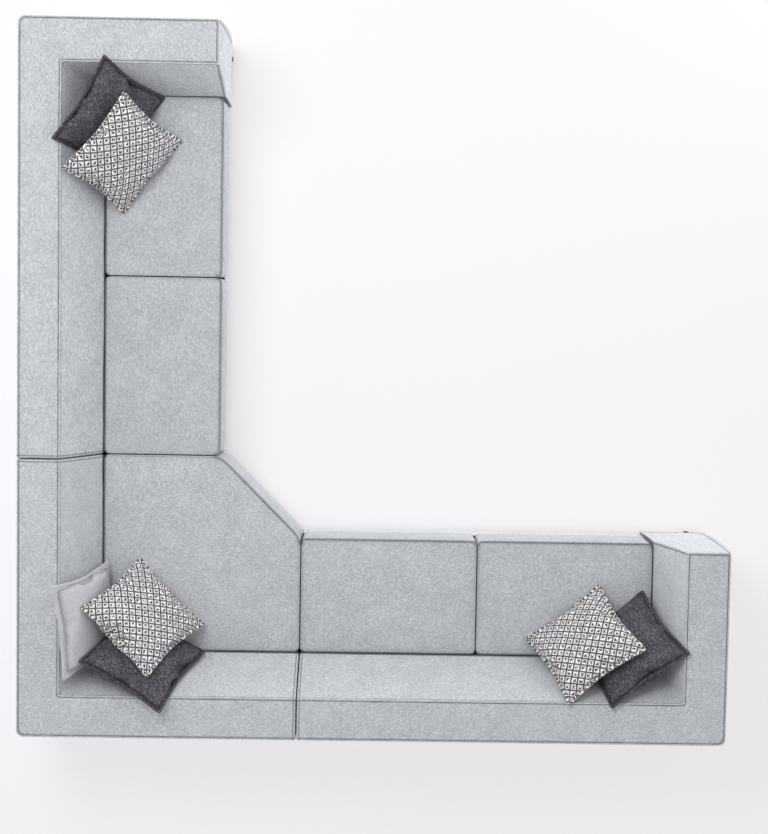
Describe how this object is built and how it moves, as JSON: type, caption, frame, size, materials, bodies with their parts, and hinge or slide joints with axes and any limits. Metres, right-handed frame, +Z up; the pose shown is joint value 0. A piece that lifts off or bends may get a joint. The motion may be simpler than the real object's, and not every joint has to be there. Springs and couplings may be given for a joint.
{
  "type": "corner sofa",
  "caption": "Low corner sofa in sections that hook together, with sloping backs and arms, loose box seat cushions, a chamfered corner seat and leaning scatter cushions.",
  "frame": {"origin": "on the floor, under the middle of the outline", "axes": "+Z up; the backs stand along the +Y and -X sides, and the open corner of the plan faces +X and -Y. The right section has its arm at the +X end, and the left section has its arm at the -Y end."},
  "size_m": [3.11, 3.11, 0.824],
  "materials": {
    "upholstery": "fine soft weave, matt",
    "charcoal_fabric": "soft melange weave, matt",
    "patterned_fabric": "flat weave with a printed lattice, matt",
    "light_fabric": "plain soft weave, matt",
    "lining": "dark non-woven cloth and webbing, matt",
    "foam": "open-cell foam, matt",
    "pine": "planed, unfinished",
    "plywood": "sawn, unfinished",
    "hardboard": "pressed fibre board, unfinished",
    "steel": "zinc-plated",
    "black_plastic": "moulded, matt"
  },
  "bodies": {
    "corner_section": {"corner_base_frame": "pine", "corner_back_frame": "plywood", "corner_back_boards": "hardboard", "corner_webbing": "lining", "corner_deck_cloth": "lining", "corner_back_foam": "foam", "corner_back_cover": "upholstery", "corner_base_cover": "upholstery", "corner_dust_cover": "lining", "corner_feet": "black_plastic", "corner_screws": "steel", "corner_connector_plates": "steel"},
    "right_section": {"right_base_frame": "pine", "right_back_frame": "plywood", "right_arm_frame": "plywood", "right_boards": "hardboard", "right_webbing": "lining", "right_deck_cloth": "lining", "right_back_foam": "foam", "right_arm_foam": "foam", "right_back_cover": "upholstery", "right_arm_cover": "upholstery", "right_base_cover": "upholstery", "right_dust_cover": "lining", "right_feet": "black_plastic", "right_foot_screws": "steel", "right_connector_pins": "steel"},
    "left_section": {"left_base_frame": "pine", "left_back_frame": "plywood", "left_arm_frame": "plywood", "left_boards": "hardboard", "left_webbing": "lining", "left_deck_cloth": "lining", "left_back_foam": "foam", "left_arm_foam": "foam", "left_back_cover": "upholstery", "left_arm_cover": "upholstery", "left_base_cover": "upholstery", "left_dust_cover": "lining", "left_feet": "black_plastic", "left_foot_screws": "steel", "left_connector_pins": "steel"},
    "corner_seat": {"corner_seat_cover": "upholstery", "corner_seat_core": "foam"},
    "right_inner_seat": {"right_inner_seat_cover": "upholstery", "right_inner_seat_core": "foam"},
    "right_arm_seat": {"right_arm_seat_cover": "upholstery", "right_arm_seat_core": "foam"},
    "left_inner_seat": {"left_inner_seat_cover": "upholstery", "left_inner_seat_core": "foam"},
    "left_arm_seat": {"left_arm_seat_cover": "upholstery", "left_arm_seat_core": "foam"},
    "right_charcoal": {"right_charcoal_cushion": "charcoal_fabric"},
    "right_patterned": {"right_patterned_cushion": "patterned_fabric"},
    "left_charcoal": {"left_charcoal_cushion": "charcoal_fabric"},
    "left_patterned": {"left_patterned_cushion": "patterned_fabric"},
    "corner_grey": {"corner_grey_cushion": "light_fabric"},
    "corner_charcoal": {"corner_charcoal_cushion": "charcoal_fabric"},
    "corner_patterned": {"corner_patterned_cushion": "patterned_fabric"}
  },
  "joints": [
    {"name": "right_section_lift", "type": "slide", "parent": "corner_section", "child": "right_section", "axis": [0, 0, 1], "range_m": [0, 0.06]},
    {"name": "left_section_lift", "type": "slide", "parent": "corner_section", "child": "left_section", "axis": [0, 0, 1], "range_m": [0, 0.06]},
    {"name": "corner_seat_lift", "type": "slide", "parent": "corner_section", "child": "corner_seat", "axis": [0, 0, 1], "range_m": [0, 0.35]},
    {"name": "right_inner_seat_lift", "type": "slide", "parent": "right_section", "child": "right_inner_seat", "axis": [0, 0, 1], "range_m": [0, 0.35]},
    {"name": "right_arm_seat_lift", "type": "slide", "parent": "right_section", "child": "right_arm_seat", "axis": [0, 0, 1], "range_m": [0, 0.35]},
    {"name": "left_inner_seat_lift", "type": "slide", "parent": "left_section", "child": "left_inner_seat", "axis": [0, 0, 1], "range_m": [0, 0.35]},
    {"name": "left_arm_seat_lift", "type": "slide", "parent": "left_section", "child": "left_arm_seat", "axis": [0, 0, 1], "range_m": [0, 0.35]},
    {"name": "right_charcoal_lift", "type": "slide", "parent": "right_arm_seat", "child": "right_charcoal", "axis": [0, 0, 1], "range_m": [0, 0.4]},
    {"name": "right_patterned_lift", "type": "slide", "parent": "right_charcoal", "child": "right_patterned", "axis": [0, 0, 1], "range_m": [0, 0.4]},
    {"name": "left_charcoal_lift", "type": "slide", "parent": "left_arm_seat", "child": "left_charcoal", "axis": [0, 0, 1], "range_m": [0, 0.4]},
    {"name": "left_patterned_lift", "type": "slide", "parent": "left_charcoal", "child": "left_patterned", "axis": [0, 0, 1], "range_m": [0, 0.4]},
    {"name": "corner_grey_lift", "type": "slide", "parent": "corner_seat", "child": "corner_grey", "axis": [0, 0, 1], "range_m": [0, 0.4]},
    {"name": "corner_charcoal_lift", "type": "slide", "parent": "corner_grey", "child": "corner_charcoal", "axis": [0, 0, 1], "range_m": [0, 0.4]},
    {"name": "corner_patterned_lift", "type": "slide", "parent": "corner_charcoal", "child": "corner_patterned", "axis": [0, 0, 1], "range_m": [0, 0.4]}
  ]
}
